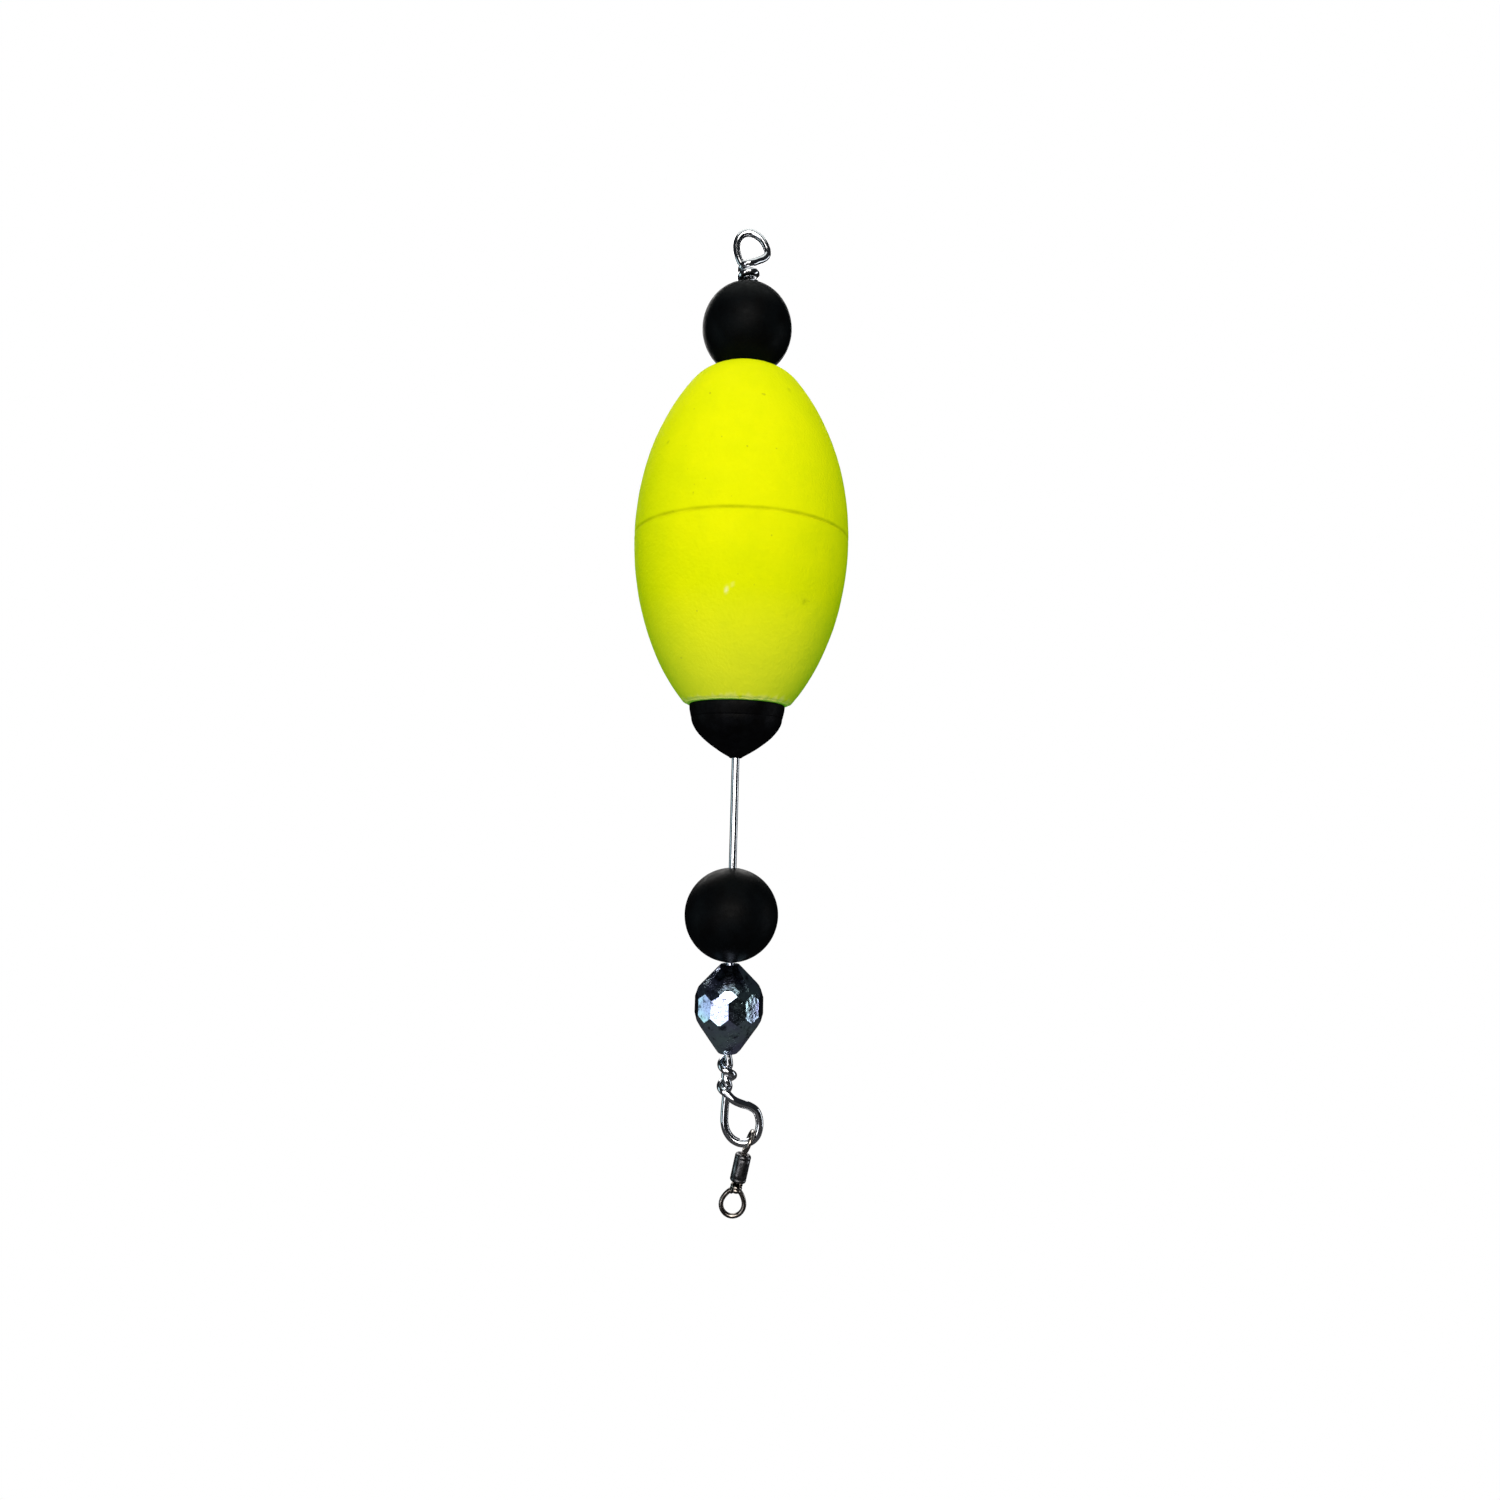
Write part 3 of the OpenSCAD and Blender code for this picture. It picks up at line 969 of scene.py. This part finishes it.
def soft_box(name, place_mm, size_mm, watts, colour=(1, 1, 1)):
    """A rectangular soft light that looks at the middle of the rig."""
    light = bpy.data.lights.new(name, "AREA")
    light.shape = "RECTANGLE"
    light.size, light.size_y = (s * MM for s in size_mm)
    light.energy = watts
    light.color = colour
    obj = bpy.data.objects.new(name, light)
    bpy.context.scene.collection.objects.link(obj)
    spot = Vector(place_mm)
    aim = Vector((0, 0, AIM_Z)) - spot
    turn = aim.to_track_quat("-Z", "Y").to_matrix().to_4x4()
    obj.matrix_world = Matrix.Translation(spot * MM) @ turn


def make_lights():
    """A broad warm key in front, tall strips for the metal to reflect, a rear light and weak fills."""
    soft_box("key", (10, -430, 50), (300, 300), 1.78, (1, 0.965, 0.92))
    soft_box("front_strip", (-240, -380, -150), (120, 330), 0.38, (0.97, 0.97, 1))
    soft_box("left_strip", (-440, 0, -130), (150, 420), 0.24, (0.72, 0.95, 1))
    soft_box("right_strip", (430, 60, -130), (90, 420), 0.3, (0.9, 0.95, 1))
    soft_box("low_fill", (160, -300, -400), (320, 220), 0.75, (1, 0.98, 0.96))
    soft_box("top", (0, -40, 380), (420, 420), 0.6, (0.95, 1, 0.97))
    soft_box("rear", (-60, 420, 220), (420, 320), 1.7, (1, 0.98, 0.96))


def make_camera():
    """The camera is close and a little below the float's shoulder, so it looks slightly up."""
    lens_share = 0.6333
    distance, height, aside = 122.8, -76.9, 1.84
    pitch, roll = math.radians(4.24), math.radians(1.484)
    sensor = 36.0
    data = bpy.data.cameras.new("camera")
    data.sensor_width = sensor
    data.lens = sensor * lens_share
    data.clip_start = 0.005
    camera = bpy.data.objects.new("camera", data)
    bpy.context.scene.collection.objects.link(camera)
    look = Matrix.Rotation(math.pi / 2 + pitch, 4, "X") @ Matrix.Rotation(roll, 4, "Z")
    camera.matrix_world = Matrix.Translation(Vector((aside, -distance, height)) * MM) @ look
    bpy.context.scene.camera = camera


# ---------------------------------------------------------------- build

make_camera()
make_world()
make_floor()
make_lights()
bpy.context.scene.view_settings.view_transform = "Standard"

bead_material = black_bead_look()
make_wire()
make_round_bead("top_bead", "top_slider", "upper_round_bead", bead_material, 1)
make_round_bead("lower_bead", "lower_bead", "lower_round_bead", bead_material, 2)
make_foam()
make_liner()
make_cap()
make_faceted_bead()
make_upper_eye()
make_barrel()
make_lower_eye()
